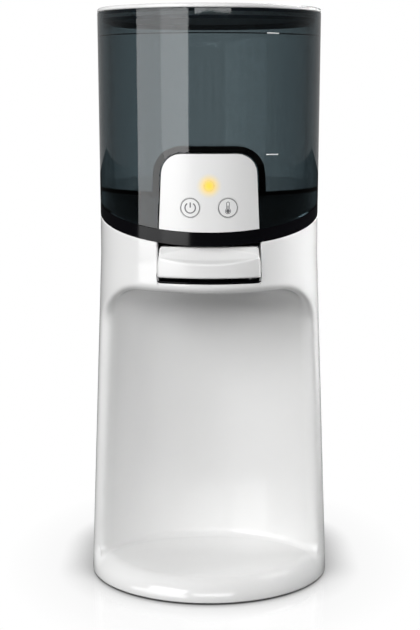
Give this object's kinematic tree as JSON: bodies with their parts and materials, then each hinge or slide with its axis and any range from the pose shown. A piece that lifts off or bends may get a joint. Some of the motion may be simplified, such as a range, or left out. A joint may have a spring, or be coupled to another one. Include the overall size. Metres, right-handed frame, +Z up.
{
  "type": "instant formula warmer",
  "caption": "Free-standing water warmer for baby bottles: lift-out smoky tank with lid, touch-free bottle bay, sprung dispense lever, push buttons and a heated vessel inside.",
  "frame": {"origin": "on the table under the middle of the base", "axes": "+Z up, the front with the bay faces -Y, and +X is to the right of someone who looks at the front"},
  "size_m": [0.1398, 0.1838, 0.3303],
  "materials": {
    "white_body": "gloss",
    "white_trim": "gloss",
    "base_white": "matte",
    "smoky_clear": "clear gloss",
    "black_gloss": "gloss",
    "black_matte": "matte",
    "dark_plug": "matte",
    "grey_plastic": "matte",
    "pale_plastic": "matte",
    "foot_rubber": "matte",
    "grey_silicone": "matte",
    "hose_silicone": "satin",
    "screw_steel": "satin",
    "spring_steel": "satin",
    "vessel_steel": "brushed",
    "board_green": "satin",
    "lens_amber": "gloss",
    "winding_yellow": "matte",
    "capacitor_blue": "satin",
    "contact_brass": "satin",
    "cable_grey": "matte",
    "cable_red": "matte"
  },
  "bodies": {
    "body": {"front_housing": "white_body", "rear_cover": "white_body", "base_plate": "base_white", "rubber_feet": "foot_rubber", "base_screws": "screw_steel", "tank_dock": "black_gloss", "dock_screws": "screw_steel", "inlet_cup": "grey_plastic", "cup_screws": "screw_steel", "console_housing": "black_matte", "control_panel": "white_trim", "status_lens": "lens_amber", "status_led": "lens_amber", "control_board": "board_green", "push_switches": "grey_plastic", "panel_screws": "screw_steel", "lever_bezel": "black_gloss", "bezel_screws": "screw_steel", "lever_pin": "spring_steel", "valve_body": "pale_plastic", "valve_cap": "grey_plastic", "valve_spring": "spring_steel", "valve_screws": "screw_steel", "spout_nozzle": "pale_plastic", "vessel_pot": "vessel_steel", "vessel_cap": "pale_plastic", "vessel_gasket": "grey_silicone", "vessel_screws": "screw_steel", "vessel_strap": "vessel_steel", "heating_element": "vessel_steel", "temperature_sensor": "vessel_steel", "thermal_cutout": "grey_plastic", "inlet_hose": "hose_silicone", "outlet_hose": "hose_silicone", "power_board": "board_green", "transformer": "winding_yellow", "capacitor": "capacitor_blue", "relay": "black_matte", "board_screws": "screw_steel", "power_inlet": "black_matte", "inlet_contacts": "contact_brass", "panel_cable": "cable_grey", "mains_cable": "cable_grey", "heater_cable": "cable_red"},
    "tank": {"water_tank": "smoky_clear", "tank_valve_cage": "grey_plastic", "tank_valve_seal": "grey_silicone", "tank_valve_spring": "spring_steel"},
    "tank_valve": {"tank_valve_poppet": "pale_plastic"},
    "lid": {"lid_cap": "white_trim", "lid_plug": "dark_plug", "lid_gasket": "grey_silicone"},
    "lever": {"dispense_lever": "white_trim"},
    "stem": {"valve_stem": "pale_plastic", "valve_disc": "grey_silicone"},
    "power_button": {"power_button": "white_trim"},
    "temperature_button": {"temperature_button": "white_trim"}
  },
  "joints": [
    {"name": "tank_lift", "type": "slide", "parent": "body", "child": "tank", "axis": [0, 0, 1], "range_m": [0, 0.08]},
    {"name": "lid_lift", "type": "slide", "parent": "tank", "child": "lid", "axis": [0, 0, 1], "range_m": [0, 0.06]},
    {"name": "tank_valve_slide", "type": "slide", "parent": "tank", "child": "tank_valve", "axis": [0, 0, 1], "range_m": [-0.00272, 0], "deforming": ["tank_valve_spring"]},
    {"name": "lever_press", "type": "hinge", "parent": "body", "child": "lever", "pos_m": [0, -0.059, 0.19106], "axis": [1, 0, 0], "range_deg": [0, 3.8], "stiffness_Nm_per_rad": 0.8, "springref_deg": -1.72},
    {"name": "stem_lift", "type": "slide", "parent": "body", "child": "stem", "axis": [0, 0, 1], "range_m": [0, 0.00138], "deforming": ["valve_spring"]},
    {"name": "power_button_press", "type": "slide", "parent": "body", "child": "power_button", "axis": [0, 1, 0], "range_m": [0, 0.0006], "stiffness_N_per_m": 2000, "springref_m": -0.0002},
    {"name": "temperature_button_press", "type": "slide", "parent": "body", "child": "temperature_button", "axis": [0, 1, 0], "range_m": [0, 0.0006], "stiffness_N_per_m": 2000, "springref_m": -0.0002}
  ],
  "couplings": [
    {"joint": "tank_valve_slide", "follows": "tank_lift", "ratio": -0.03375},
    {"joint": "stem_lift", "follows": "lever_press", "m_per_rad": 0.0207}
  ]
}
